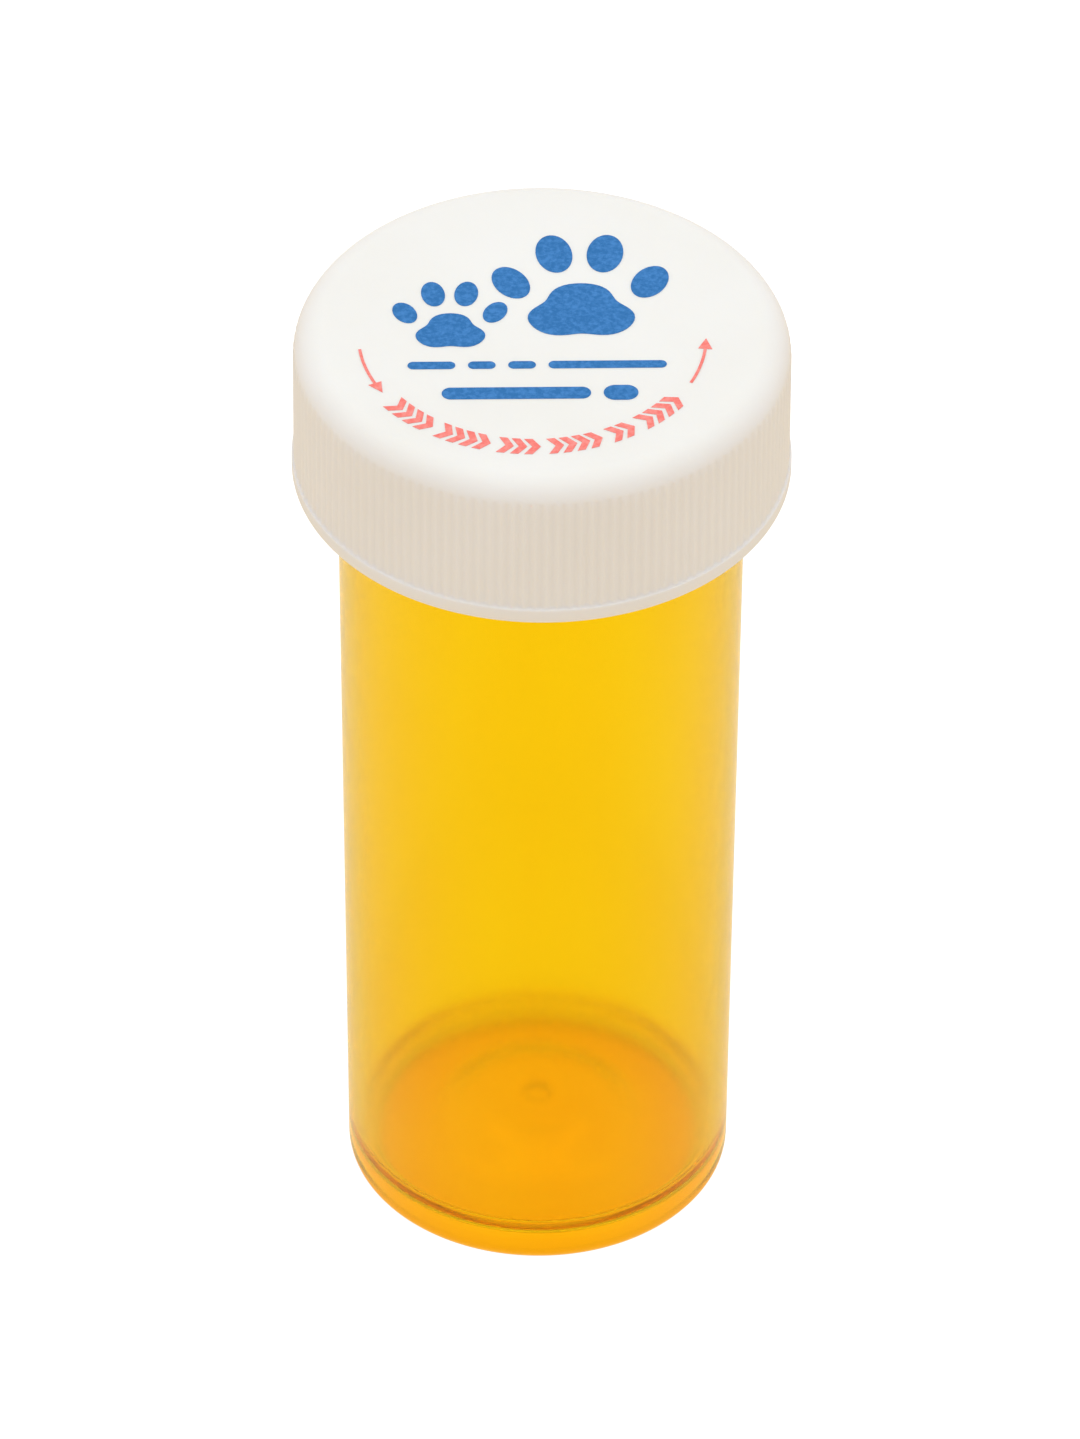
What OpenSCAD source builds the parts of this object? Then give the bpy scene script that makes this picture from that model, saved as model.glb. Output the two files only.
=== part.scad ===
// Prescription vial with a push-down-and-turn cap.
// The vial stands on z = 0 with its axis along Z. The cap is drawn seated and pressed down,
// with its lugs in line with the gaps between the vial's lugs, so it can be lifted straight off.
// Turning it clockwise by half a lug pitch, seen from above, and letting go locks it.

/* [Vial] */
// Height of the vial from its foot to its lip
vial_h = 84.4; // [60:0.1:110]
// Outer diameter of the tube at its foot
foot_d = 31.8; // [30:0.1:33]
// Outer diameter of the tube at its lip
neck_d = 33.4; // [32.6:0.1:33.6]
// Thickness of the tube's wall
wall = 1.2; // [1:0.1:1.5]
// Thickness of the floor
floor_t = 1.1; // [1:0.1:2]
// Height of the rim that holds the floor off the table
rim_h = 2.2; // [1:0.1:2.5]
// Thickness of that rim
rim_t = 1.8; // [1.8:0.1:3]
// Radius of the rounded outer corner at the foot
foot_round = 1.2; // [0.5:0.1:1.4]
// Radius of the rounded inner corner at the floor
floor_round = 1; // [0.8:0.1:3]
// Radius at which the floor slopes up to its raised middle
slope_r = 8.7; // [7:0.1:10]
// Radius of the flat raised middle
plateau_r = 5.4; // [3:0.1:6]
// Height of the raised middle above the rest of the floor
plateau_h = 2.6; // [0.5:0.1:3]
// Diameter of the round gate mark under the floor
gate_d = 2.3; // [1.5:0.1:4]

/* [Closure] */
// Number of locking lugs, on the vial and in the cap
lug_count = 6; // [4:1:6]
// Diameter over the vial's lugs
vial_lug_d = 36.6; // [36.2:0.1:36.8]
// Depth of the vial's lugs below the lip, at their top
vial_lug_drop = 3.4; // [3.2:0.1:4]
// Thickness of a vial lug above its pocket
vial_lug_t = 1.6; // [1:0.1:1.8]
// Distance that the stop wall hangs below the pocket
stop_wall_h = 2.6; // [1.6:0.1:3]
// Angle taken by the pocket that holds a cap lug
pocket_angle = 24; // [22:1:26]
// Angle taken by the entry tooth, and by the stop wall
tooth_angle = 5; // [4:1:6]
// Angle taken by a cap lug
cap_lug_angle = 18; // [12:1:20]
// Diameter inside the cap's lugs
cap_lug_d = 34.1; // [34:0.1:34.6]
// Height of a cap lug
cap_lug_h = 1.6; // [1:0.1:1.8]
// Distance that the cap is pushed down to free its lugs
push_travel = 1.2; // [0.8:0.1:1.4]

/* [Cap] */
// Height of the cap
cap_h = 14; // [13:0.1:16]
// Diameter over the smooth band at the cap's lower edge
band_d = 40.6; // [40.3:0.1:42]
// Height of the smooth band
band_h = 1.7; // [1:0.1:2.5]
// Diameter over the ribs of the skirt
skirt_d = 40.28; // [40:0.01:41]
// Number of fine ribs round the skirt
rib_count = 138; // [60:6:180]
// Depth of the grooves between the ribs
rib_depth = 0.2; // [0.1:0.05:0.4]
// Radius of the cap's rounded top edge
top_round = 2.5; // [1:0.1:2.8]
// Thickness of the cap's top
cap_top_t = 1.5; // [1.2:0.1:2]
// Diameter of the cap's bore
bore_d = 37.2; // [37:0.1:37.4]

/* [Seal] */
// Diameter of the sealing disc
seal_d = 36.4; // [36:0.1:36.6]
// Thickness of the disc's flange
seal_t = 0.75; // [0.5:0.05:0.9]
// Depth that the disc's plug reaches into the mouth
plug_h = 3; // [1.5:0.1:4]
// Gap between the plug and the inside of the mouth
plug_gap = 0.15; // [0.1:0.05:0.3]
// Thickness of the plug's ring
plug_t = 0.8; // [0.6:0.1:1.2]

/* [Hidden] */
$fn = 96;
arc_steps = 6;
lip_round = 0.4;
gate_depth = 0.35;
rim_edge = 0.2;
floor_z = rim_h + floor_t;
// Depth that a lug or bead is sunk into the wall it grows from
embed = 0.4;
// Gap between faces that rest on each other
touch_gap = 0.05;
// Height of the disc's crown above its flange, and thickness of its middle
crown_rise = 0.35;
membrane_t = 0.7;
// Height and depth of the bead that holds the disc
bead_h = 1.4;
bead_depth = 0.8;
// Half a lug pitch lies between the open and the locked position
lug_pitch = 360 / lug_count;
lock_turn = lug_pitch / 2;
// Rest heights of the disc and the cap, which the lip carries through the disc
seal_z = vial_h + touch_gap;
crown_z = seal_z + seal_t + crown_rise;
cap_ceiling_z = crown_z + touch_gap;
cap_top_z = cap_ceiling_z + cap_top_t;
cap_z = cap_top_z - cap_h;
bead_z = seal_z - 3 * touch_gap;
// Levels of the lugs: a pressed cap lug passes just below the entry tooth
pocket_z = vial_h - vial_lug_drop - vial_lug_t;
entry_tooth_h = push_travel - 4 * touch_gap;
cap_lug_z = pocket_z - push_travel - 2 * touch_gap - cap_lug_h;

function draft_r(z) = (foot_d + (neck_d - foot_d) * z / vial_h) / 2;
function arc(cx, cz, r, from, to) =
    [for (i = [0 : arc_steps]) let (a = from + (to - from) * i / arc_steps)
        [cx + r * cos(a), cz + r * sin(a)]];

// One block of a ring, between two angles and two heights
module ring_block(r_in, r_out, z, h, from, to) {
    rotate([0, 0, from])
        translate([0, 0, z])
            rotate_extrude(angle = to - from)
                translate([r_in, 0])
                    square([r_out - r_in, h]);
}

// A hook that stands out of the neck: a roof with a pocket under it, between an entry tooth
// and a deeper stop wall
module vial_lug() {
    r_in = draft_r(pocket_z) - embed;
    r_out = vial_lug_d / 2;
    entry = pocket_angle / 2;
    low_z = pocket_z - stop_wall_h;
    difference() {
        ring_block(r_in, r_out, low_z, stop_wall_h + vial_lug_t,
            -entry - tooth_angle, entry + tooth_angle);
        ring_block(r_in - 1, r_out + 1, low_z - 1, stop_wall_h + 1, -entry, entry);
        ring_block(r_in - 1, r_out + 1, low_z - 1, stop_wall_h + 1 - entry_tooth_h,
            entry - 1, entry + tooth_angle + 1);
    }
}

module vial_body() {
    inner_foot_r = foot_d / 2 - wall;
    rim_r = foot_d / 2 - rim_t;
    gate_z = rim_h + plateau_h + gate_depth;
    color("orange", 0.75)
        union() {
            rotate_extrude()
                polygon(concat(
                    [[0, gate_z], [gate_d / 2, gate_z], [gate_d / 2, gate_z - gate_depth],
                        [plateau_r, gate_z - gate_depth], [slope_r, rim_h], [rim_r, rim_h],
                        [rim_r, rim_edge], [rim_r + rim_edge, 0]],
                    arc(foot_d / 2 - foot_round, foot_round, foot_round, -90, 0),
                    arc(neck_d / 2 - lip_round, vial_h - lip_round, lip_round, 0, 90),
                    arc(neck_d / 2 - wall + lip_round, vial_h - lip_round, lip_round, 90, 180),
                    arc(inner_foot_r - floor_round, floor_z + floor_round, floor_round, 0, -90),
                    [[slope_r, floor_z], [plateau_r, floor_z + plateau_h], [0, floor_z + plateau_h]]
                ));
            for (i = [0 : lug_count - 1])
                rotate([0, 0, i * lug_pitch - lock_turn])
                    vial_lug();
        }
}

// Skirt with fine ribs, cut to the cap's rounded outline
module ribbed_drum() {
    peak_r = skirt_d / 2;
    outline_r = peak_r + 2 * touch_gap;
    points = [for (i = [0 : 2 * rib_count - 1]) let (r = peak_r - rib_depth * (i % 2))
        [r * cos(180 * i / rib_count), r * sin(180 * i / rib_count)]];
    intersection() {
        translate([0, 0, cap_z + band_h / 2])
            linear_extrude(height = cap_h)
                polygon(points);
        rotate_extrude()
            polygon(concat(
                [[0, cap_z], [outline_r, cap_z]],
                arc(outline_r - top_round, cap_top_z - top_round, top_round, 0, 90),
                [[0, cap_top_z]]
            ));
    }
}

// Smooth band round the cap's lower edge
module band() {
    soft = 0.4;
    rotate_extrude()
        polygon(concat(
            [[0, cap_z], [0, cap_z + band_h]],
            arc(band_d / 2 - soft, cap_z + band_h - soft, soft, 90, 0),
            arc(band_d / 2 - soft, cap_z + soft, soft, 0, -90)
        ));
}

// Bead that holds the sealing disc, with a long lead-in below and a short face above
module bead() {
    r = bore_d / 2;
    rotate_extrude()
        polygon([
            [r + embed, bead_z - bead_h], [r, bead_z - bead_h],
            [r - bead_depth, bead_z - bead_h / 3], [r - bead_depth, bead_z - bead_h / 6],
            [r, bead_z], [r + embed, bead_z]
        ]);
}

module cap_shell() {
    color("white")
        union() {
            difference() {
                union() {
                    ribbed_drum();
                    band();
                }
                translate([0, 0, cap_z - 1])
                    cylinder(d = bore_d, h = cap_ceiling_z - cap_z + 1);
            }
            bead();
            for (i = [0 : lug_count - 1])
                ring_block(cap_lug_d / 2, bore_d / 2 + embed, cap_lug_z, cap_lug_h,
                    i * lug_pitch - cap_lug_angle / 2, i * lug_pitch + cap_lug_angle / 2);
        }
}

// Dished disc: a flange that lies on the lip, a plug that fills the mouth and a raised crown
module spring_seal() {
    plug_r = neck_d / 2 - wall - plug_gap;
    inner_r = plug_r - plug_t;
    flange_z = seal_z + seal_t;
    edge = 0.2;
    lead_in = 0.4;
    crown_r = 6;
    color("gainsboro")
        rotate_extrude()
            polygon([
                [0, crown_z], [crown_r, crown_z], [inner_r, flange_z],
                [seal_d / 2 - edge, flange_z], [seal_d / 2, flange_z - edge],
                [seal_d / 2, seal_z + edge], [seal_d / 2 - edge, seal_z], [plug_r, seal_z],
                [plug_r, seal_z - plug_h + 2 * lead_in], [plug_r - lead_in, seal_z - plug_h],
                [inner_r, seal_z - plug_h], [inner_r, flange_z - membrane_t - edge],
                [crown_r, crown_z - membrane_t], [0, crown_z - membrane_t]
            ]);
}

vial_body();
cap_shell();
spring_seal();
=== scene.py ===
"""Prescription vial: an amber tube, its white push-down-and-turn cap and the sealing disc between them."""
from math import atan2, cos, degrees, hypot, pi, radians, sin, tan

import bmesh
import bpy
import numpy as np
from bpy.props import FloatProperty, FloatVectorProperty, IntProperty, PointerProperty
from mathutils import Matrix, Vector


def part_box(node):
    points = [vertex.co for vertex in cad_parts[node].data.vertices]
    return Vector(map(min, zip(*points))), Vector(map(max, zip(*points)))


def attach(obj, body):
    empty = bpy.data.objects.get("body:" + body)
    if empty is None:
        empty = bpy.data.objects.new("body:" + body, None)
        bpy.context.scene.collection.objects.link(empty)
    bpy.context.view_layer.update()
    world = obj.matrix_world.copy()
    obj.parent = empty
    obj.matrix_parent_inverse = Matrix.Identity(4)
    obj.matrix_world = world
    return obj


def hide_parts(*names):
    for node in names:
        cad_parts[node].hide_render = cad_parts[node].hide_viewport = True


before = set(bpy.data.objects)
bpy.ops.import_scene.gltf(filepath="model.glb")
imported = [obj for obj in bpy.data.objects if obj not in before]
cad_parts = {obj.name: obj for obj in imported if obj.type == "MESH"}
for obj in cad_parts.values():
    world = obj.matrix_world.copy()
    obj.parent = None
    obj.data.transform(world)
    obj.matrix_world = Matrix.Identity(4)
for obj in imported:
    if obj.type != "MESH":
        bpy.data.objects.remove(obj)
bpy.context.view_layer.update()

bl_info = {
    "name": "Prescription Vial",
    "version": (1, 0, 0),
    "blender": (4, 5, 0),
    "location": "3D View > Sidebar > Vial",
    "description": "Builds an amber pharmacy vial with a push-down-and-turn cap",
    "category": "Add Mesh",
}

MM = 0.001
# Distance in metres below which two points are one
SAME_POINT = 1e-9
# Sockets of a colour mix: its share and its two colours
MIX_SHARE, MIX_FIRST, MIX_SECOND = 0, 6, 7
VIAL_LOW, VIAL_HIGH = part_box("vial_body")
CAP_LOW, CAP_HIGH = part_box("cap_shell")
SEAL_LOW, SEAL_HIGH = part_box("spring_seal")


# Settings

def length(name, description, value):
    """A length in metres, with its default given in millimetres."""
    return FloatProperty(name=name, description=description, default=value * MM, min=0.0,
                         unit="LENGTH", subtype="DISTANCE", precision=5)


def tint(name, description, value):
    """A linear colour."""
    return FloatVectorProperty(name=name, description=description, default=value, min=0.0, max=1.0,
                               size=3, subtype="COLOR")


def turn(name, description, value):
    """An angle, with its default given in degrees."""
    return FloatProperty(name=name, description=description, default=radians(value),
                         unit="ROTATION", subtype="ANGLE")


class TubeSettings(bpy.types.PropertyGroup):
    """Sizes and colours of the amber tube"""

    foot_diameter: length("Foot Diameter", "Outer diameter of the tube at its foot", 31.8)
    neck_diameter: length("Neck Diameter", "Outer diameter of the tube at its lip", 33.4)
    wall: length("Wall", "Thickness of the wall", 1.2)
    floor_thickness: length("Floor Thickness", "Thickness of the floor", 1.1)
    rim_height: length("Rim Height", "Height of the rim that holds the floor off the table", 2.2)
    rim_thickness: length("Rim Thickness", "Thickness of that rim", 1.8)
    foot_round: length("Foot Round", "Radius of the outer corner at the foot", 1.2)
    floor_round: length("Floor Round", "Radius of the inner corner at the floor", 1.0)
    lip_round: length("Lip Round", "Radius of the lip's edges", 0.4)
    slope_radius: length("Slope Radius", "Radius where the floor slopes up to its middle", 8.7)
    plateau_radius: length("Plateau Radius", "Radius of the flat raised middle", 5.4)
    plateau_height: length("Plateau Height", "Height of the raised middle", 2.6)
    gate_diameter: length("Gate Diameter", "Diameter of the gate mark under the floor", 2.3)
    gate_depth: length("Gate Depth", "Depth of the gate mark", 0.35)
    crown_round: length("Crown Round", "Radius of the plateau's edge, on the floor", 3.8)
    slope_round: length("Slope Round", "Radius of the slope's foot, on the floor", 1.4)
    under_crown_round: length("Under Crown Round", "Radius of the plateau's edge, under the floor", 2.8)
    under_slope_round: length("Under Slope Round", "Radius of the slope's foot, under the floor", 2.4)
    fillet: length("Fillet", "Radius between the rim and the underside of the floor", 1.2)
    rim_edge: length("Rim Edge", "Radius of the rim's inner edge", 0.2)
    pale_amber: tint("Pale Amber", "Tint of the plastic", (0.99, 0.88, 0.01))
    deep_amber: tint("Deep Amber", "Tint of the streaks left by the melt", (0.985, 0.85, 0.008))
    thick_amber: tint("Thick Amber", "Colour that thick plastic turns to", (0.998, 0.95, 0.01))
    density: FloatProperty(name="Density", description="How fast thick plastic takes that colour",
                           default=800.0, min=0.0)


class LockSettings(bpy.types.PropertyGroup):
    """The bayonet lock between the tube and the cap"""

    lugs: IntProperty(name="Lugs", description="Number of lugs on each side", default=6, min=3, max=8)
    vial_lug_diameter: length("Vial Lug Diameter", "Diameter over the tube's lugs", 36.6)
    lug_drop: length("Lug Drop", "Depth of the tube's lugs below the lip", 3.4)
    roof: length("Roof", "Thickness of a lug above its pocket", 1.6)
    tooth: length("Entry Tooth", "Height of the tooth at the pocket's entry", 1.0)
    stop: length("Stop Wall", "Height of the wall at the pocket's end", 2.6)
    pocket_angle: turn("Pocket Angle", "Angle of the pocket that holds a cap lug", 24)
    tooth_angle: turn("Tooth Angle", "Angle of the tooth and of the stop wall", 5)
    cap_lug_angle: turn("Cap Lug Angle", "Angle of a cap lug", 18)
    cap_lug_diameter: length("Cap Lug Diameter", "Diameter inside the cap's lugs", 34.1)
    cap_lug_height: length("Cap Lug Height", "Height of a cap lug", 1.6)
    cap_lug_level: length("Cap Lug Level", "Height of the cap's lugs above its lower edge", 3.4)
    softness: length("Softness", "Width over which the lugs' edges are rounded", 0.3)


class CapSettings(bpy.types.PropertyGroup):
    """Sizes and colours of the white cap"""

    band_height: length("Band Height", "Height of the smooth band at the lower edge", 1.45)
    skirt_diameter: length("Skirt Diameter", "Diameter over the ribs", 40.28)
    ribs: IntProperty(name="Ribs", description="Number of fine ribs round the skirt", default=138, min=12)
    rib_depth: length("Rib Depth", "Depth of the grooves between the ribs", 0.11)
    top_round: length("Top Round", "Radius of the rounded top edge", 2.5)
    top_thickness: length("Top Thickness", "Thickness of the top", 1.5)
    bore_diameter: length("Bore Diameter", "Diameter inside the skirt", 37.2)
    bead_depth: length("Bead Depth", "Depth of the bead that holds the disc", 0.8)
    bead_height: length("Bead Height", "Height of that bead", 1.4)
    bead_drop: length("Bead Drop", "Depth of the bead's top below the ceiling", 1.3)
    white: tint("White", "Colour of the plastic", (0.78, 0.78, 0.765))
    warm_white: tint("Warm White", "Colour of its slight clouding", (0.765, 0.76, 0.735))


class SealSettings(bpy.types.PropertyGroup):
    """Sizes and colours of the sealing disc"""

    flange: length("Flange", "Thickness of the flange", 0.75)
    membrane: length("Membrane", "Thickness of the middle", 0.7)
    plug_gap: length("Plug Gap", "Gap between the plug and the mouth", 0.15)
    plug_wall: length("Plug Wall", "Thickness of the plug's ring", 0.8)
    crown_radius: length("Crown Radius", "Radius of the flat crown", 6)
    natural: tint("Natural", "Colour of the plastic", (0.80, 0.80, 0.76))
    milky: tint("Milky", "Colour of its clouding", (0.86, 0.86, 0.83))


class PrintSettings(bpy.types.PropertyGroup):
    """The ink on the cap's top"""

    thickness: length("Thickness", "Height of the ink above the plastic", 0.03)
    shift: FloatVectorProperty(name="Shift", description="Centre of the print on the cap", size=2,
                               default=(-0.8 * MM, -0.9 * MM), unit="LENGTH", precision=5)
    tilt: turn("Tilt", "Turn of the print on the cap", 1.2)
    ring_radius: length("Ring Radius", "Radius of the ring of chevrons and arrows", 14.0)
    blue: tint("Blue", "Blue ink where it covers well", (0.004, 0.13, 0.38))
    thin_blue: tint("Thin Blue", "Blue ink where it is thin", (0.032, 0.195, 0.51))
    coral: tint("Coral", "Coral ink where it covers well", (0.82, 0.165, 0.14))
    thin_coral: tint("Thin Coral", "Coral ink where it is thin", (0.86, 0.27, 0.24))


class StageSettings(bpy.types.PropertyGroup):
    """Camera, floor and light"""

    elevation: turn("Elevation", "Angle of the camera above the horizon", 40.26)
    lean: turn("Lean", "Roll of the camera", 0.34)
    distance: FloatProperty(name="Distance", description="From the camera to the vial's middle",
                            default=1.218, unit="LENGTH", subtype="DISTANCE")
    focal_length: FloatProperty(name="Focal Length", description="Lens of the camera", default=369.7,
                                unit="CAMERA")
    aim: length("Aim Height", "Height that the camera looks at", 45.94)
    floor_colour: tint("Floor", "Colour of the floor", (0.18, 0.18, 0.18))
    floor_white: tint("Floor White", "Light of the floor as the camera sees it", (1.0, 1.0, 1.0))
    floor_glow: tint("Floor Glow", "Light that the floor gives to the vial", (0.86, 0.69, 0.39))
    # Painted light: an amber pool of light painted into the floor's glow under the vial, darker below the
    # rim as painted contact shade
    pool: tint("Amber Pool", "Light on the floor under the vial, which its plastic has coloured",
               (1.0, 0.51, 0.0))
    pool_edge: tint("Pool Edge", "The same light below the rim", (0.92, 0.42, 0.0))
    pool_radius: length("Pool Radius", "Radius of that light", 15.2)
    horizon: tint("Horizon", "Light from the room round the vial", (0.80, 0.70, 0.80))
    zenith: tint("Zenith", "Light from above", (0.57, 0.60, 0.67))
    lamp_power: FloatProperty(name="Lamp Power", description="Power of the overhead soft box",
                              default=13.6, min=0.0, unit="POWER")
    lamp_colour: tint("Lamp Colour", "Colour of the soft box", (0.94, 0.94, 0.78))
    lamp_size: FloatProperty(name="Lamp Size", description="Diameter of the soft box",
                             default=1.8, min=0.0, unit="LENGTH", subtype="DISTANCE")
    lamp_height: FloatProperty(name="Lamp Height", description="Height of the soft box above the floor",
                               default=1.3, min=0.0, unit="LENGTH", subtype="DISTANCE")
    light_steps: IntProperty(name="Light Steps", default=40, min=1,
                             description="How many times light is followed through clear plastic")


class VialSettings(bpy.types.PropertyGroup):
    """All settings of the vial"""

    tube: PointerProperty(type=TubeSettings, name="Tube", description="The amber tube")
    lock: PointerProperty(type=LockSettings, name="Lock", description="The bayonet lock")
    cap: PointerProperty(type=CapSettings, name="Cap", description="The white cap")
    seal: PointerProperty(type=SealSettings, name="Seal", description="The sealing disc")
    ink: PointerProperty(type=PrintSettings, name="Print", description="The ink on the cap")
    stage: PointerProperty(type=StageSettings, name="Stage", description="Camera, floor and light")


# Turned shapes: a profile of rows (radius, height, zone), carried round the axis

def arc(centre_r, centre_z, radius, start, end, steps=8):
    """Points of an arc in the plane of radius and height, with its angles in degrees."""
    turns = [radians(start + (end - start) * i / steps) for i in range(steps + 1)]
    return [(centre_r + radius * cos(a), centre_z + radius * sin(a)) for a in turns]


def zoned(points, zone):
    """The points as rows of one zone."""
    return [(r, z, zone) for r, z in points]


def held(rows, hold=0.25 * MM, step=5 * MM):
    """The rows without repeats and with more between far ones, close to each end, so shading stays flat."""
    filled = [rows[0]]
    for (r0, z0, zone0), (r1, z1, zone) in zip(rows, rows[1:]):
        span = hypot(r1 - r0, z1 - z0)
        if span < SAME_POINT and zone == zone0:
            continue
        if span > 3 * hold:
            inner = max(1, round((span - 2 * hold) / step))
            stops = [hold + (span - 2 * hold) * i / inner for i in range(inner + 1)]
            filled += [(r0 + (r1 - r0) * s / span, z0 + (z1 - z0) * s / span, zone) for s in stops]
        filled.append((r1, z1, zone))
    return filled


def soft_box(x, low, high, soft):
    """1 between low and high and 0 outside, with edges rounded over a width of soft."""
    rise = np.clip((x - low) / soft + 0.5, 0, 1)
    fall = np.clip((high - x) / soft + 0.5, 0, 1)
    return rise * rise * (3 - 2 * rise) * fall * fall * (3 - 2 * fall)


def edge_lines(at, soft):
    """Places for mesh lines across a soft edge."""
    return [at + soft * share for share in (-0.5, -0.2, 0.2, 0.5)]


def even_angles(count):
    """Angles of a turned mesh with no breaks."""
    return np.arange(count) * 2 * pi / count


def turned_mesh(name, rows, angles, relief=None):
    """A closed mesh of the rows turned about Z. relief(angles, height, zone) is added to the radius."""
    verts, rings = [], []
    for r, z, zone in rows:
        if r < SAME_POINT:
            rings.append([len(verts)])
            verts.append((0, 0, z))
            continue
        radius = r + (relief(angles, z, zone) if relief else 0 * angles)
        rings.append(list(range(len(verts), len(verts) + len(angles))))
        verts += list(zip(radius * np.cos(angles), radius * np.sin(angles), [z] * len(angles)))
    faces = []
    count = len(angles)
    for low, high in zip(rings, rings[1:]):
        for i in range(count):
            j = (i + 1) % count
            corners = [low[i % len(low)], low[j % len(low)], high[j % len(high)], high[i % len(high)]]
            faces.append(list(dict.fromkeys(corners)))
    mesh = bpy.data.meshes.new(name)
    mesh.from_pydata([tuple(map(float, v)) for v in verts], [], faces)
    return mesh


def finished(name, mesh, material, sharp=40):
    """An object of the mesh with outward normals, smooth faces and its material."""
    shape = bmesh.new()
    shape.from_mesh(mesh)
    bmesh.ops.recalc_face_normals(shape, faces=shape.faces)
    shape.to_mesh(mesh)
    shape.free()
    mesh.shade_smooth()
    mesh.set_sharp_from_angle(angle=radians(sharp))
    mesh.materials.append(material)
    piece = bpy.data.objects.new(name, mesh)
    bpy.context.scene.collection.objects.link(piece)
    return piece


# Flat print: outlines in millimetres, raised into thin solids

def ellipse(x, y, width, height, tilt=0.0, count=40):
    """Outline of an ellipse, turned by tilt degrees."""
    turned = Matrix.Rotation(radians(tilt), 2)
    ring = [Vector((width / 2 * cos(a), height / 2 * sin(a))) for a in even_angles(count)]
    return [turned @ p + Vector((x, y)) for p in ring]


def pill(x, y, width, height, count=24):
    """Outline of a bar with round ends."""
    r = height / 2
    turns = even_angles(count) + pi / count
    return [Vector((x + r * cos(a) + (width / 2 - r) * (1 if cos(a) > 0 else -1), y + r * sin(a)))
            for a in turns]


def paw(x, y, size):
    """Outlines of a paw print: a three-lobed pad and four toes."""
    pad = []
    for a in even_angles(60):
        r = size * (0.225 + 0.032 * cos(3 * (a - pi / 2)) - 0.006 * cos(6 * (a - pi / 2)))
        pad.append(Vector((x + 1.22 * r * cos(a), y - 0.2 * size + r * sin(a))))
    toes = []
    for side in (1, -1):
        toes.append(ellipse(x + side * 0.38 * size, y + 0.06 * size, 0.19 * size, 0.29 * size, -side * 24))
        toes.append(ellipse(x + side * 0.14 * size, y + 0.31 * size, 0.2 * size, 0.33 * size, -side * 7))
    return [pad] + toes


def at_turn(radius, angle):
    """The point at a radius and an angle in degrees."""
    return Vector((radius * cos(radians(angle)), radius * sin(radians(angle))))


def chevron(radius, angle, height=1.9, depth=0.65, stroke=0.68):
    """Outline of a chevron on a ring, pointing counter-clockwise."""
    along = at_turn(1, angle + 90)
    out = at_turn(1, angle)
    shape = [(-depth / 2, height / 2), (stroke - depth / 2, height / 2), (stroke + depth / 2, 0),
             (stroke - depth / 2, -height / 2), (-depth / 2, -height / 2), (depth / 2, 0)]
    return [out * (radius + v) + along * (u - stroke / 2) for u, v in shape]


def ring_arrow(radius, start, end, stroke=0.25, head_width=1.15, head_angle=5.5, steps=10):
    """Outline of a curved arrow on a ring, pointing from the angle start to the angle end."""
    neck = end - head_angle
    turns = [start + (neck - start) * i / steps for i in range(steps + 1)]
    head = [at_turn(radius + head_width / 2, neck), at_turn(radius, end),
            at_turn(radius - head_width / 2, neck)]
    return ([at_turn(radius + stroke / 2, a) for a in turns] + head
            + [at_turn(radius - stroke / 2, a) for a in reversed(turns)])


def raised_mesh(name, outlines, place, low, high):
    """Thin solids of the outlines, between two heights. place maps an outline's point to the cap."""
    shape = bmesh.new()
    for outline in outlines:
        points = [place @ Vector((p.x * MM, p.y * MM, 0)) for p in outline]
        under = [shape.verts.new((p.x, p.y, low)) for p in points]
        over = [shape.verts.new((p.x, p.y, high)) for p in points]
        shape.faces.new(over)
        shape.faces.new(under[::-1])
        for i in range(len(points)):
            j = (i + 1) % len(points)
            shape.faces.new((under[i], under[j], over[j], over[i]))
    mesh = bpy.data.meshes.new(name)
    shape.to_mesh(mesh)
    shape.free()
    return mesh


# Materials

def node(tree, kind, inputs=None, **settings):
    """A shader node with its settings, and values or links on its inputs."""
    made = tree.nodes.new("ShaderNode" + kind)
    for name, value in settings.items():
        setattr(made, name, value)
    for name, value in (inputs or {}).items():
        if isinstance(value, bpy.types.NodeSocket):
            tree.links.new(value, made.inputs[name])
        else:
            made.inputs[name].default_value = value
    return made


def mixed(tree, share, first, second):
    """A colour that goes from first to second by share."""
    inputs = {MIX_SHARE: share, MIX_FIRST: first, MIX_SECOND: second}
    return node(tree, "Mix", inputs, data_type="RGBA").outputs[2]


def ranged(tree, value, low, high, to_low, to_high):
    """A value carried from one range to another, and held inside it."""
    inputs = {"Value": value, "From Min": low, "From Max": high, "To Min": to_low, "To Max": to_high}
    return node(tree, "MapRange", inputs).outputs["Result"]


def opaque(colour):
    """A colour with full alpha."""
    return (*colour, 1.0)


def group_tree(name, inputs, output):
    """An empty node group, its input sockets and its one output. inputs are (name, kind, default)."""
    tree = bpy.data.node_groups.new(name, "ShaderNodeTree")
    for label, kind, default in inputs:
        socket = tree.interface.new_socket(label, in_out="INPUT", socket_type="NodeSocket" + kind)
        if default is not None:
            socket.default_value = default
    tree.interface.new_socket(output, in_out="OUTPUT", socket_type="NodeSocketFloat")
    return tree, tree.nodes.new("NodeGroupInput").outputs, tree.nodes.new("NodeGroupOutput").inputs[output]


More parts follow.
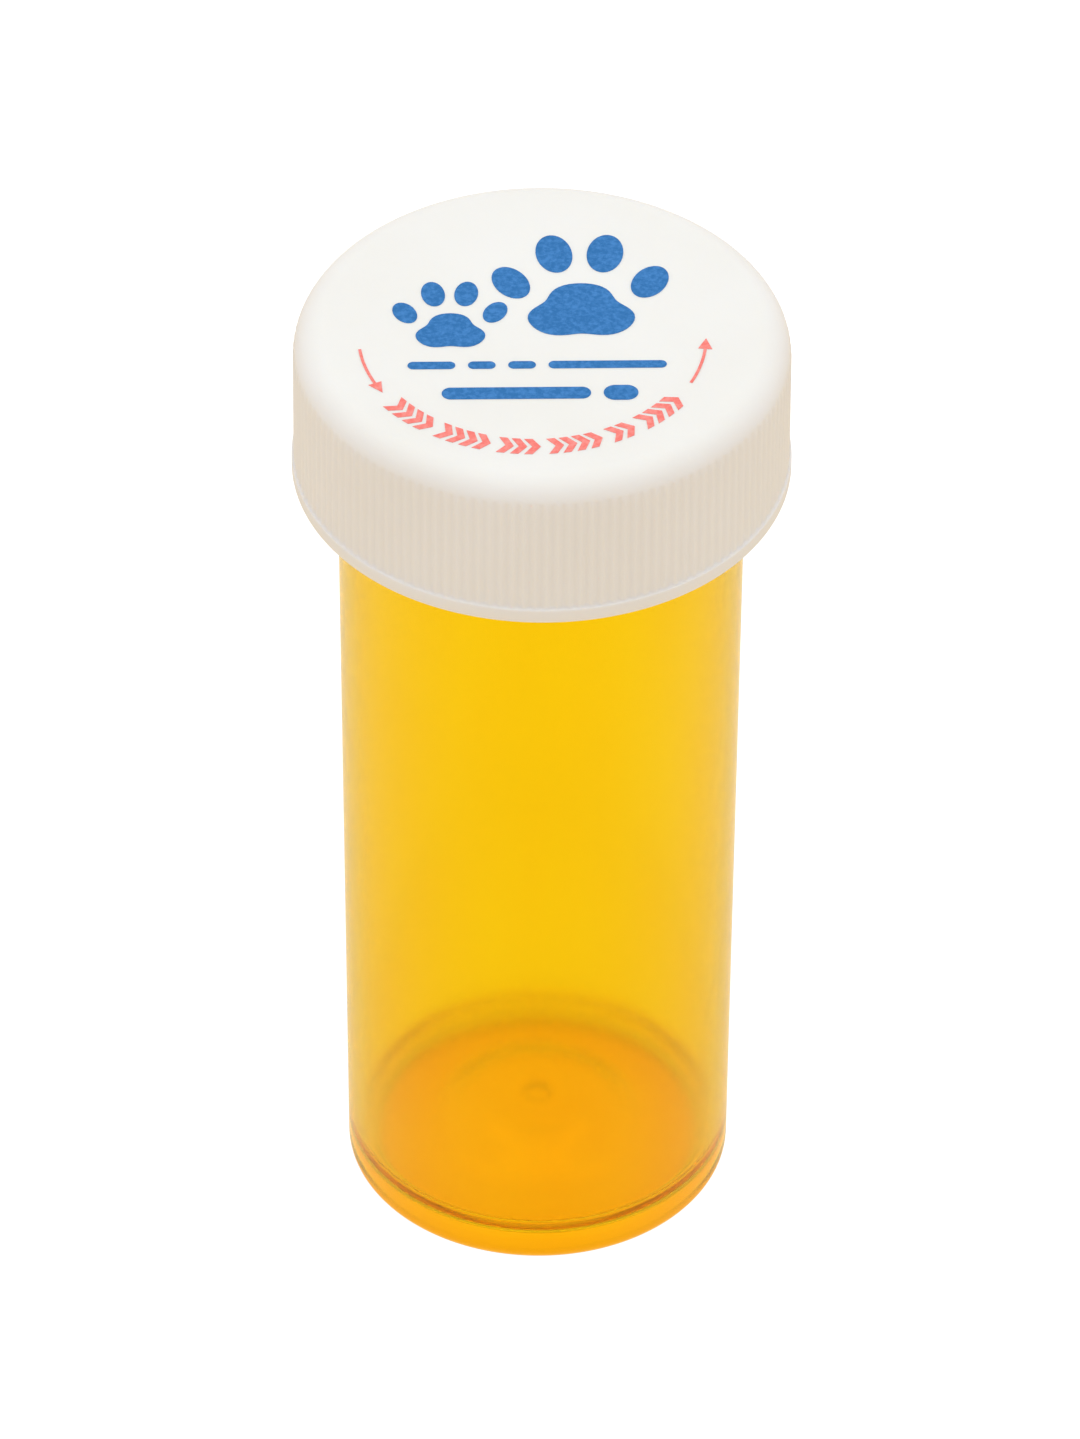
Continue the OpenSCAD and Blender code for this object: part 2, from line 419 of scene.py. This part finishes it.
def melt_clouding():
    """Soft streaks that the melt leaves in a moulding."""
    inputs = [("Vector", "Vector", None), ("Scale", "Float", 40.0), ("Stretch", "Vector", (1, 1, 1))]
    tree, given, out = group_tree("Melt Clouding", inputs, "Mask")
    along = node(tree, "VectorMath", {0: given["Vector"], 1: given["Stretch"]}, operation="MULTIPLY")
    noise = node(tree, "TexNoise", {"Vector": along.outputs[0], "Scale": given["Scale"],
                                    "Detail": 3.0, "Roughness": 0.55})
    tree.links.new(ranged(tree, noise.outputs["Fac"], 0.35, 0.65, 0.0, 1.0), out)
    return tree


def fine_scuffs():
    """Faint scratches in two directions, gathered in patches."""
    inputs = [("Vector", "Vector", None), ("Scale", "Float", 900.0), ("Amount", "Float", 0.5)]
    tree, given, out = group_tree("Fine Scuffs", inputs, "Mask")
    strokes = []
    for tilt in (25, -50):
        turned = node(tree, "Mapping", {"Vector": given["Vector"], "Scale": (1.0, 0.06, 0.4),
                                        "Rotation": (0, 0, radians(tilt))})
        noise = node(tree, "TexNoise", {"Vector": turned.outputs[0], "Scale": given["Scale"],
                                        "Detail": 1.0, "Roughness": 0.4})
        strokes.append(ranged(tree, noise.outputs["Fac"], 0.66, 0.74, 0.0, 1.0))
    either = node(tree, "Math", {0: strokes[0], 1: strokes[1]}, operation="MAXIMUM")
    patches = node(tree, "TexNoise", {"Vector": given["Vector"], "Scale": 90.0, "Detail": 2.0})
    here = ranged(tree, patches.outputs["Fac"], 0.45, 0.65, 0.0, 1.0)
    both = node(tree, "Math", {0: either.outputs[0], 1: here}, operation="MULTIPLY")
    amount = node(tree, "Math", {0: both.outputs[0], 1: given["Amount"]}, operation="MULTIPLY")
    tree.links.new(amount.outputs[0], out)
    return tree


def moulded_skin():
    """The low, even texture that a mould's steel leaves on plastic."""
    inputs = [("Vector", "Vector", None), ("Scale", "Float", 2500.0)]
    tree, given, out = group_tree("Moulded Skin", inputs, "Height")
    noise = node(tree, "TexNoise", {"Vector": given["Vector"], "Scale": given["Scale"],
                                    "Detail": 2.0, "Roughness": 0.5})
    tree.links.new(noise.outputs["Fac"], out)
    return tree


def ink_coverage():
    """How well a printed ink covers: 1 where it is full, lower in blotches and pinholes."""
    inputs = [("Vector", "Vector", None), ("Scale", "Float", 2200.0), ("Pinholes", "Float", 0.2)]
    tree, given, out = group_tree("Ink Coverage", inputs, "Mask")
    blotches = node(tree, "TexNoise", {"Vector": given["Vector"], "Scale": given["Scale"],
                                       "Detail": 3.0, "Roughness": 0.65})
    cover = ranged(tree, blotches.outputs["Fac"], 0.35, 0.6, 0.0, 1.0)
    dots = node(tree, "TexVoronoi", {"Vector": given["Vector"], "Scale": given["Scale"]})
    holes = ranged(tree, dots.outputs["Distance"], 0.08, 0.2, 1.0, 0.0)
    bare = node(tree, "Math", {0: holes, 1: given["Pinholes"]}, operation="MULTIPLY")
    left = node(tree, "Math", {0: cover, 1: bare.outputs[0]}, operation="SUBTRACT", use_clamp=True)
    tree.links.new(left.outputs[0], out)
    return tree


def placed(tree, group_maker, inputs):
    """The output of a shared group, which is built the first time it is asked for."""
    name = group_maker.__name__.replace("_", " ").title()
    shared = bpy.data.node_groups.get(name) or group_maker()
    made = tree.nodes.new("ShaderNodeGroup")
    made.node_tree = shared
    for label, value in inputs.items():
        if isinstance(value, bpy.types.NodeSocket):
            tree.links.new(value, made.inputs[label])
        else:
            made.inputs[label].default_value = value
    return made.outputs[0]


def blank_material(name, shine):
    """A material, its tree, its Principled node with plain values, and coordinates that ride with it."""
    material = bpy.data.materials.new(name)
    material.use_nodes = True
    tree = material.node_tree
    surface = tree.nodes["Principled BSDF"]
    for label, value in shine.items():
        surface.inputs[label].default_value = value
    return material, tree, surface, node(tree, "TexCoord").outputs["Object"]


def skin_bump(tree, surface, where, scale, strength):
    """Feeds the moulded skin to the surface's Normal."""
    height = placed(tree, moulded_skin, {"Vector": where, "Scale": scale})
    bump = node(tree, "Bump", {"Height": height, "Strength": strength, "Distance": 0.05 * MM})
    tree.links.new(bump.outputs["Normal"], surface.inputs["Normal"])


def amber_plastic(tube):
    """Clear amber polypropylene."""
    shine = {"Metallic": 0.0, "Transmission Weight": 0.97, "IOR": 1.49,
             "Specular Tint": (1.0, 0.65, 0.0, 1.0)}
    material, tree, surface, where = blank_material("Amber Polypropylene", shine)
    streaks = placed(tree, melt_clouding, {"Vector": where, "Scale": 120.0, "Stretch": (1, 1, 0.25)})
    colour = mixed(tree, streaks, opaque(tube.pale_amber), opaque(tube.deep_amber))
    tree.links.new(colour, surface.inputs["Base Color"])
    scuffs = placed(tree, fine_scuffs, {"Vector": where, "Scale": 700.0, "Amount": 0.6})
    tree.links.new(ranged(tree, scuffs, 0.0, 1.0, 0.125, 0.15), surface.inputs["Roughness"])
    skin_bump(tree, surface, where, 1500.0, 0.03)
    depth = node(tree, "VolumeAbsorption", {"Color": opaque(tube.thick_amber), "Density": tube.density})
    tree.links.new(depth.outputs["Volume"], tree.nodes["Material Output"].inputs["Volume"])
    return material


def milky_plastic(name, colours, shine, roughness, scuff_amount):
    """Opaque or milky plastic with slight clouding, scuffs and moulded skin."""
    material, tree, surface, where = blank_material(name, shine)
    clouds = placed(tree, melt_clouding, {"Vector": where, "Scale": 60.0})
    colour = mixed(tree, clouds, opaque(colours[0]), opaque(colours[1]))
    tree.links.new(colour, surface.inputs["Base Color"])
    scuffs = placed(tree, fine_scuffs, {"Vector": where, "Amount": scuff_amount})
    tree.links.new(ranged(tree, scuffs, 0.0, 1.0, *roughness), surface.inputs["Roughness"])
    skin_bump(tree, surface, where, 2500.0, 0.12)
    return material


def printed_ink(name, colour, thin):
    """Pad-printed ink with uneven cover."""
    shine = {"Roughness": 0.45, "Specular IOR Level": 0.35}
    material, tree, surface, where = blank_material(name, shine)
    cover = placed(tree, ink_coverage, {"Vector": where})
    tree.links.new(mixed(tree, cover, opaque(thin), opaque(colour)), surface.inputs["Base Color"])
    skin_bump(tree, surface, where, 4000.0, 0.1)
    return material


# Pieces

class MESH_OT_vial_tube(bpy.types.Operator):
    """Builds the amber tube with its recessed floor and its locking lugs"""

    bl_idname = "mesh.vial_tube"
    bl_label = "Amber Tube"

    def execute(self, context):
        tube = context.scene.vial.tube
        lock = context.scene.vial.lock
        top = VIAL_HIGH[2]
        foot_r = tube.foot_diameter / 2
        neck_r = tube.neck_diameter / 2
        inner_r = foot_r - tube.wall
        pocket_z = top - lock.lug_drop - lock.roof
        lug_r = lock.vial_lug_diameter / 2

        def outer_r(z):
            return foot_r + (neck_r - foot_r) * z / top

        rim_r = foot_r - tube.rim_thickness
        rim_edge = tube.rim_edge
        fillet = tube.fillet
        under_z = tube.rim_height
        floor_z = under_z + tube.floor_thickness

        def raised_middle(z, crown_round, slope_round):
            """The floor from its middle outwards: the plateau's edge and the foot of the slope."""
            run = tube.slope_radius - tube.plateau_radius
            slope = atan2(tube.plateau_height, run)
            lean = degrees(slope)
            crown_r = tube.plateau_radius - crown_round * tan(slope / 2)
            crown_z = z + tube.plateau_height - crown_round
            crown = arc(crown_r, crown_z, crown_round, 90, 90 - lean, 10)
            slope_r = tube.slope_radius + slope_round * tan(slope / 2)
            return crown + arc(slope_r, z + slope_round, slope_round, -90 - lean, -90, 8)

        gate_r = tube.gate_diameter / 2
        gate_z = under_z + tube.plateau_height + tube.gate_depth
        bevel = 0.12 * MM
        nub_z = gate_z - 2 * bevel
        gate = [(0, nub_z), (0.3 * gate_r, nub_z), (0.4 * gate_r, gate_z)]
        gate += [(gate_r - bevel, gate_z), (gate_r, gate_z - bevel), (gate_r, gate_z - tube.gate_depth)]
        stop_z = pocket_z - lock.stop
        tooth_z = pocket_z - lock.tooth
        roof_z = pocket_z + lock.roof
        levels = (stop_z, tooth_z, pocket_z, roof_z)
        lines = sorted(z for level in levels for z in edge_lines(level, lock.softness))
        margin = 1 * MM
        neck = [lines[0] - margin] + lines + [lines[-1] + margin]
        wall = held([(outer_r(z), z, "neck") for z in neck])
        hollow = arc(rim_r - fillet, under_z - fillet, fillet, 90, 0, 8)
        hollow += arc(rim_r + rim_edge, rim_edge, rim_edge, 180, 270, 4)
        under = gate + raised_middle(under_z, tube.under_crown_round, tube.under_slope_round) + hollow
        corner = arc(foot_r - tube.foot_round, tube.foot_round, tube.foot_round, -90, 0, 12)
        lip = arc(neck_r - tube.lip_round, top - tube.lip_round, tube.lip_round, 0, 90)
        lip += arc(neck_r - tube.wall + tube.lip_round, top - tube.lip_round, tube.lip_round, 90, 180)
        inside = arc(inner_r - tube.floor_round, floor_z + tube.floor_round, tube.floor_round, 0, -90, 10)
        inside += raised_middle(floor_z, tube.crown_round, tube.slope_round)[::-1]
        inside += [(0, floor_z + tube.plateau_height)]
        rows = held(zoned(under + corner, "foot") + wall + zoned(lip + inside, "inside"))

        pitch = 2 * pi / lock.lugs
        half_pocket = lock.pocket_angle / 2
        half_lug = half_pocket + lock.tooth_angle
        # Lines half a degree either side of each whole one, so that a lug's edge falls between two
        soft_turn = radians(1)
        angles = even_angles(360) + soft_turn / 2

        def lugs(angle, z, zone):
            if zone != "neck":
                return 0 * angle
            local = (angle + pitch) % pitch - pitch / 2
            roof_part = (-half_lug, half_lug, pocket_z)
            tooth_part = (half_pocket, half_lug, tooth_z)
            stop_part = (-half_lug, -half_pocket, stop_z)
            mask = 0 * angle
            for start, end, low in (roof_part, tooth_part, stop_part):
                height = soft_box(z, low, roof_z, lock.softness)
                mask = np.maximum(mask, soft_box(local, start, end, soft_turn) * height)
            return mask * (lug_r - outer_r(z))

        mesh = turned_mesh("amber_tube", rows, angles, lugs)
        piece = finished("amber_tube", mesh, amber_plastic(tube), sharp=50)
        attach(piece, "vial")
        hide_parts("vial_body")
        return {"FINISHED"}


class MESH_OT_vial_cap(bpy.types.Operator):
    """Builds the white cap with its ribbed skirt, its lugs and the bead that holds the disc"""

    bl_idname = "mesh.vial_cap"
    bl_label = "White Cap"

    def execute(self, context):
        cap = context.scene.vial.cap
        lock = context.scene.vial.lock
        low = CAP_LOW[2]
        top = CAP_HIGH[2]
        band_r = (CAP_HIGH[0] - CAP_LOW[0]) / 2
        skirt_r = cap.skirt_diameter / 2
        bore_r = cap.bore_diameter / 2
        ceiling = top - cap.top_thickness
        shoulder = top - cap.top_round
        soft = 0.4 * MM
        step = 0.12 * MM
        band_top = low + cap.band_height

        crown = [(0, top)] + arc(skirt_r - cap.top_round, shoulder, cap.top_round, 90, 0, 18)
        margin = 1 * MM
        skirt = [(skirt_r, shoulder - i * margin) for i in range(1, 9)] + [(skirt_r, band_top + step)]
        band = arc(band_r - step, band_top - step, step, 90, 0, 3)
        band += arc(band_r - soft, low + soft, soft, 0, -90, 6)
        mouth = arc(bore_r + soft, low + soft, soft, -90, -180, 6)
        lug_low = low + lock.cap_lug_level
        lug_high = lug_low + lock.cap_lug_height
        lines = edge_lines(lug_low, lock.softness) + edge_lines(lug_high, lock.softness)
        bore = [(bore_r, z) for z in [lug_low - margin] + lines + [lug_high + margin]]
        bead_z = ceiling - cap.bead_drop
        tip_r = bore_r - cap.bead_depth
        bead = [(bore_r, bead_z - cap.bead_height), (tip_r, bead_z - cap.bead_height / 3),
                (tip_r, bead_z - cap.bead_height / 6), (bore_r, bead_z)]
        inside = arc(bore_r - soft, ceiling - soft, soft, 0, 90, 6) + [(0, ceiling)]
        rows = held(zoned(crown + skirt, "skirt") + zoned(band + mouth, "band")
                    + zoned(bore, "bore") + zoned(bead + inside, "inside"), step=3 * MM)

        pitch = 2 * pi / lock.lugs
        soft_turn = 1.5 * lock.softness / bore_r
        lug_depth = bore_r - lock.cap_lug_diameter / 2
        rib_top = shoulder + 0.6 * MM
        fade = 0.5 * MM

        def relief(angle, z, zone):
            if zone == "skirt":
                grooves = (1 - np.cos(cap.ribs * angle)) / 2
                return -cap.rib_depth * grooves * soft_box(z, band_top, rib_top, fade)
            if zone == "bore":
                local = (angle + pitch / 2) % pitch - pitch / 2
                lug = soft_box(local, -lock.cap_lug_angle / 2, lock.cap_lug_angle / 2, soft_turn)
                return -lug_depth * lug * soft_box(z, lug_low, lug_high, lock.softness)
            return 0 * angle

        mesh = turned_mesh("white_cap", rows, even_angles(cap.ribs * 6), relief)
        shine = {"IOR": 1.49, "Specular IOR Level": 0.2, "Subsurface Weight": 0.35,
                 "Subsurface Radius": (1.0, 0.9, 0.75), "Subsurface Scale": 0.8 * MM}
        colours = (cap.white, cap.warm_white)
        plastic = milky_plastic("White Polypropylene", colours, shine,
                                roughness=(0.48, 0.6), scuff_amount=0.5)
        piece = finished("white_cap", mesh, plastic, sharp=55)
        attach(piece, "cap")
        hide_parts("cap_shell")
        return {"FINISHED"}


class MESH_OT_vial_seal(bpy.types.Operator):
    """Builds the dished sealing disc that springs the cap up"""

    bl_idname = "mesh.vial_seal"
    bl_label = "Sealing Disc"

    def execute(self, context):
        seal = context.scene.vial.seal
        tube = context.scene.vial.tube
        rim_r = (SEAL_HIGH[0] - SEAL_LOW[0]) / 2
        rest_gap = 0.05 * MM
        low = VIAL_HIGH[2] + rest_gap
        flange_z = low + seal.flange
        crown_z = SEAL_HIGH[2]
        plug_low = SEAL_LOW[2]
        plug_r = tube.neck_diameter / 2 - tube.wall - seal.plug_gap
        inner_r = plug_r - seal.plug_wall
        edge = 0.2 * MM
        lead = 0.4 * MM

        top = [(0, crown_z), (seal.crown_radius, crown_z), (inner_r, flange_z)]
        rim = arc(rim_r - edge, flange_z - edge, edge, 90, 0, 5)
        rim += arc(rim_r - edge, low + edge, edge, 0, -90, 5)
        plug = [(plug_r, low), (plug_r, plug_low + 2 * lead)]
        plug += arc(plug_r - lead - edge, plug_low + edge, edge, 0, -90, 5)
        under = arc(inner_r + edge, plug_low + edge, edge, -90, -180, 5)
        under += [(inner_r, flange_z - seal.membrane - edge)]
        under += [(seal.crown_radius, crown_z - seal.membrane), (0, crown_z - seal.membrane)]
        rows = held(zoned(top + rim + plug + under, "disc"))
        mesh = turned_mesh("sealing_disc", rows, even_angles(180))
        shine = {"IOR": 1.51, "Subsurface Weight": 0.4, "Subsurface Radius": (1.0, 0.95, 0.85),
                 "Subsurface Scale": 1.5 * MM}
        colours = (seal.natural, seal.milky)
        plastic = milky_plastic("Natural Polyethylene", colours, shine,
                                roughness=(0.42, 0.55), scuff_amount=0.3)
        piece = finished("sealing_disc", mesh, plastic)
        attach(piece, "seal")
        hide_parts("spring_seal")
        return {"FINISHED"}


class MESH_OT_vial_print(bpy.types.Operator):
    """Prints the cap's top: two paws, bars in place of words, and a ring that shows which way to turn"""

    bl_idname = "mesh.vial_print"
    bl_label = "Cap Print"

    def execute(self, context):
        ink = context.scene.vial.ink
        place = Matrix.Translation((*ink.shift, 0)) @ Matrix.Rotation(ink.tilt, 4, "Z")
        small_paw = paw(-6.6, 2.6, 9.6)
        large_paw = paw(4.0, 6.1, 14.8)

        # Bars stand where a line of words would, each as long as so many letters
        letter = 0.81
        bar_gap = 0.2
        bars = []
        left = -10.2
        for letters in (5, 3, 3, 12):
            width = letters * letter
            bars.append(pill(left + width / 2, -3.6, width - bar_gap, 0.95))
            left += width + letter
        long_bar = pill(-1.4, -7.2, 12.0, 1.5)
        short_bar = pill(7.0, -7.2, 2.8, 1.9)

        # Chevrons stand in groups along the ring, which show which way to turn the cap
        ring = ink.ring_radius / MM
        pitch = 4.4
        group_gap = 0.75 * pitch
        marks = []
        angle = -141.5
        for count in (4, 4, 3, 4, 2, 4):
            marks += [chevron(ring, angle + i * pitch) for i in range(count)]
            angle += count * pitch + group_gap
        arrows = [ring_arrow(ring, -174.0, -150.0), ring_arrow(ring, -25.5, -1.5)]

        blue = printed_ink("Blue Ink", ink.blue, ink.thin_blue)
        coral = printed_ink("Coral Ink", ink.coral, ink.thin_coral)
        top = CAP_HIGH[2]
        works = (("paw_prints", small_paw + large_paw, blue, "blue_ink"),
                 ("caption_bars", bars + [long_bar, short_bar], blue, "blue_ink"),
                 ("turn_chevrons", marks, coral, "coral_ink"),
                 ("turn_arrows", arrows, coral, "coral_ink"))
        for name, outlines, colour, slot in works:
            mesh = raised_mesh(name, outlines, place, top - ink.thickness, top + ink.thickness)
            piece = finished(name, mesh, colour, sharp=30)
            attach(piece, "cap")
        return {"FINISHED"}


class SCENE_OT_vial_stage(bpy.types.Operator):
    """Sets the floor, the light and the camera"""

    bl_idname = "scene.vial_stage"
    bl_label = "Stage"

    def execute(self, context):
        stage = context.scene.vial.stage
        self.lay_floor(context, stage)
        self.light(context, stage)
        self.set_camera(context, stage)
        context.scene.view_settings.view_transform = "Standard"
        # Clear plastic leads light along inside it, and each reflection there counts as a glossy bounce
        context.scene.cycles.max_bounces = stage.light_steps
        context.scene.cycles.glossy_bounces = stage.light_steps
        context.scene.cycles.transmission_bounces = stage.light_steps
        return {"FINISHED"}

    def lay_floor(self, context, stage):
        """A glowing sheet just below the vial, clear from below, so that views from there show the foot."""
        half = 1.5
        sink = 0.02 * MM
        mesh = bpy.data.meshes.new("floor")
        corners = [(-half, -half, -sink), (half, -half, -sink), (half, half, -sink), (-half, half, -sink)]
        mesh.from_pydata(corners, [], [(0, 1, 2, 3)])
        shine = {"Base Color": opaque(stage.floor_colour), "Emission Strength": 1.0, "Roughness": 0.9,
                 "Specular IOR Level": 0.2}
        material, tree, surface, where = blank_material("Floor Paper", shine)
        off_axis = node(tree, "VectorMath", {0: where}, operation="LENGTH").outputs["Value"]
        pool_r = stage.pool_radius
        # Painted light: the glow under the vial is an amber pool painted by distance from the axis, darker
        # below the rim as painted contact shade
        below_rim = ranged(tree, off_axis, 0.6 * pool_r, 0.9 * pool_r, 0.0, 1.0)
        outside = ranged(tree, off_axis, pool_r - 0.5 * MM, pool_r, 0.0, 1.0)
        pool = mixed(tree, below_rim, opaque(stage.pool), opaque(stage.pool_edge))
        glow = mixed(tree, outside, pool, opaque(stage.floor_glow))
        direct = node(tree, "LightPath").outputs["Is Camera Ray"]
        seen_glow = mixed(tree, direct, glow, opaque(stage.floor_white))
        tree.links.new(seen_glow, surface.inputs["Emission Color"])
        clear = node(tree, "BsdfTransparent")
        back = node(tree, "NewGeometry").outputs["Backfacing"]
        seen = node(tree, "MixShader", {0: back, 1: surface.outputs[0], 2: clear.outputs[0]})
        tree.links.new(seen.outputs[0], tree.nodes["Material Output"].inputs["Surface"])
        mesh.materials.append(material)
        floor_sheet = bpy.data.objects.new("floor", mesh)
        context.scene.collection.objects.link(floor_sheet)

    def light(self, context, stage):
        """The light of the room and an overhead soft box."""
        world = bpy.data.worlds.new("Studio")
        world.use_nodes = True
        tree = world.node_tree
        sky = tree.nodes["Background"]
        up = node(tree, "SeparateXYZ", {0: node(tree, "TexCoord").outputs["Generated"]}).outputs["Z"]
        height = ranged(tree, up, 0.0, 0.9, 0.0, 1.0)
        room = mixed(tree, height, opaque(stage.horizon), opaque(stage.zenith))
        tree.links.new(room, sky.inputs["Color"])
        context.scene.world = world
        lamp = bpy.data.lights.new("overhead", "AREA")
        lamp.shape = "DISK"
        lamp.size = stage.lamp_size
        lamp.energy = stage.lamp_power
        lamp.color = stage.lamp_colour
        soft_box = bpy.data.objects.new("overhead", lamp)
        soft_box.location = (0, 0, stage.lamp_height)
        context.scene.collection.objects.link(soft_box)

    def set_camera(self, context, stage):
        """A long lens that looks down at the vial."""
        lens = bpy.data.cameras.new("camera")
        lens.sensor_width = 36
        lens.lens = stage.focal_length
        lens.clip_start = 0.05
        lens.clip_end = 20
        camera = bpy.data.objects.new("camera", lens)
        back = Vector((0, -cos(stage.elevation), sin(stage.elevation)))
        camera.location = Vector((0, 0, stage.aim)) + back * stage.distance
        towards = (-back).to_track_quat("-Z", "Y").to_matrix()
        camera.rotation_euler = (towards @ Matrix.Rotation(stage.lean, 3, "Z")).to_euler()
        context.scene.collection.objects.link(camera)
        context.scene.camera = camera


class VIEW3D_PT_vial(bpy.types.Panel):
    """Lists the vial's builders in the sidebar"""

    bl_idname = "VIEW3D_PT_vial"
    bl_label = "Prescription Vial"
    bl_space_type = "VIEW_3D"
    bl_region_type = "UI"
    bl_category = "Vial"

    def draw(self, context):
        for operator in OPERATORS:
            self.layout.operator(operator.bl_idname)
        for part in ("tube", "lock", "cap", "seal", "ink", "stage"):
            settings = getattr(context.scene.vial, part)
            box = self.layout.box()
            box.label(text=settings.bl_rna.name)
            for name in settings.__annotations__:
                box.prop(settings, name)


OPERATORS = (MESH_OT_vial_tube, MESH_OT_vial_cap, MESH_OT_vial_seal, MESH_OT_vial_print,
             SCENE_OT_vial_stage)
CLASSES = (TubeSettings, LockSettings, CapSettings, SealSettings, PrintSettings, StageSettings,
           VialSettings, *OPERATORS, VIEW3D_PT_vial)


def register():
    for part in CLASSES:
        bpy.utils.register_class(part)
    bpy.types.Scene.vial = PointerProperty(type=VialSettings)


def unregister():
    del bpy.types.Scene.vial
    for part in reversed(CLASSES):
        bpy.utils.unregister_class(part)


def main():
    """Builds the vial on its stage."""
    register()
    bpy.ops.mesh.vial_tube()
    bpy.ops.mesh.vial_cap()
    bpy.ops.mesh.vial_seal()
    bpy.ops.mesh.vial_print()
    bpy.ops.scene.vial_stage()


if __name__ == "__main__":
    main()
